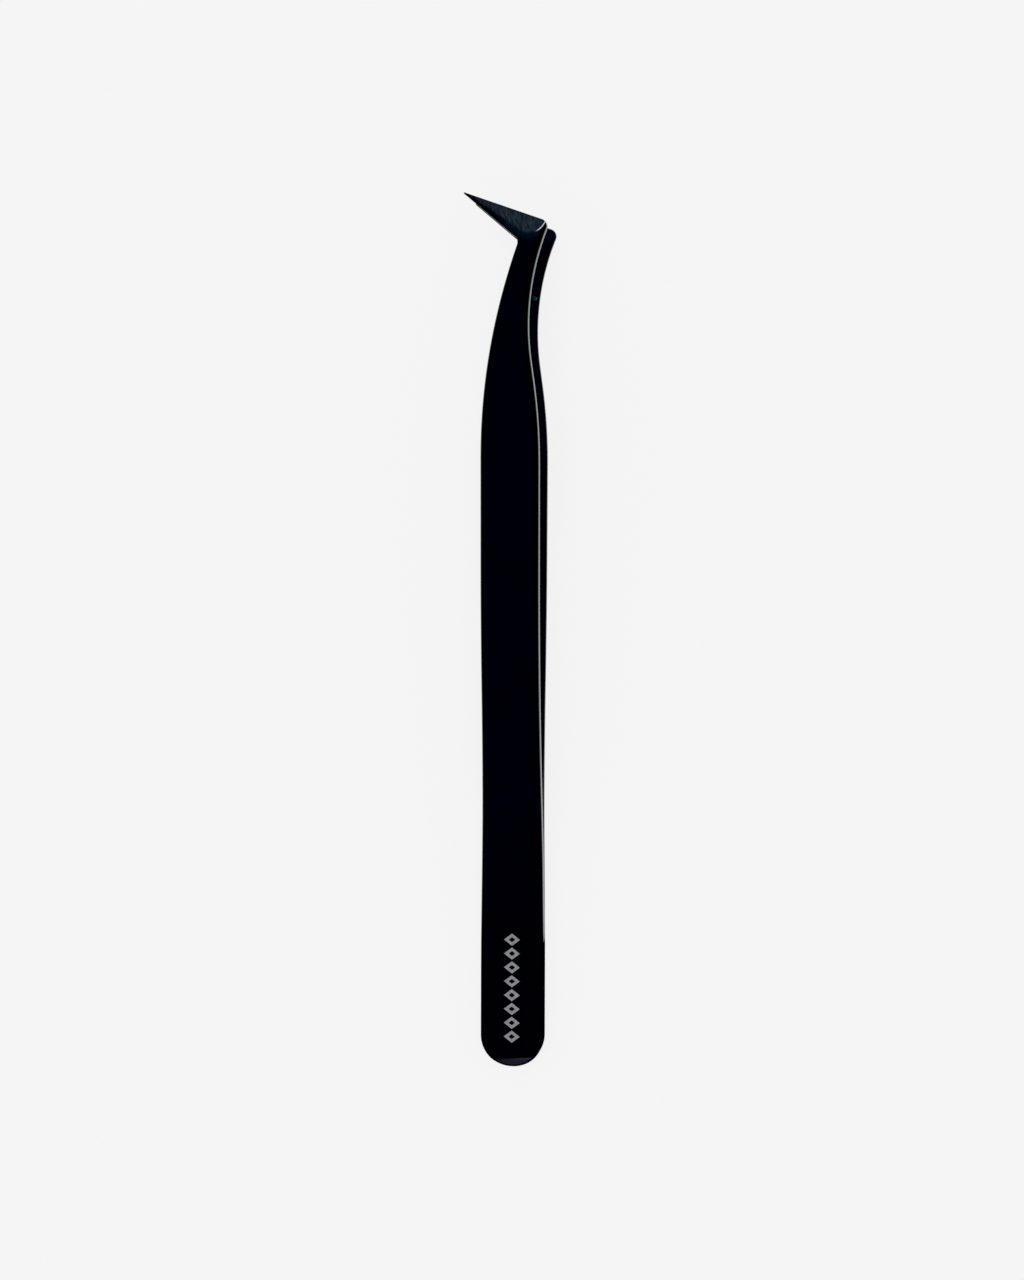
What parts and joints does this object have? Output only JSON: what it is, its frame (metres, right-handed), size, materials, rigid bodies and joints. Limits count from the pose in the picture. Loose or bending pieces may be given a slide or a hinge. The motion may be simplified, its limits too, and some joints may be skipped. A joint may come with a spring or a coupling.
{
  "type": "boot-tip lash tweezers",
  "caption": "Slim black steel tweezers with mirrored spring arms welded at a round butt, a narrow neck and pointed boot tips turned to one side.",
  "frame": {"origin": "middle of the flat outer face of the rear butt, 10 mm from the butt's end", "axes": "+Y from the butt to the tips, +Z out of the front arm's outer face, tips turned towards -X"},
  "size_m": [0.0123, 0.1299, 0.012],
  "materials": {
    "black_steel": "hard black coating over lengthwise brushed spring steel, satin, with slate-grey cross-ground facets on the boots",
    "pin_steel": "blued steel pin, smooth",
    "weld_metal": "fused weld nugget, matt"
  },
  "bodies": {
    "butt": {"front_butt": "black_steel", "rear_butt": "black_steel", "spot_welds": "weld_metal"},
    "front_arm": {"front_blade": "black_steel"},
    "rear_arm": {"rear_blade": "black_steel", "guide_pin": "pin_steel"}
  },
  "joints": [
    {"name": "front_arm_flex", "type": "hinge", "parent": "butt", "child": "front_arm", "pos_m": [0, 0.024, 0.00201], "axis": [-1, 0, 0], "range_deg": [0, 3.12], "stiffness_Nm_per_rad": 2.5},
    {"name": "rear_arm_flex", "type": "hinge", "parent": "butt", "child": "rear_arm", "pos_m": [0, 0.024, 0.00039], "axis": [1, 0, 0], "range_deg": [0, 3.12], "stiffness_Nm_per_rad": 2.5}
  ],
  "couplings": [
    {"joint": "rear_arm_flex", "follows": "front_arm_flex", "ratio": 1}
  ]
}
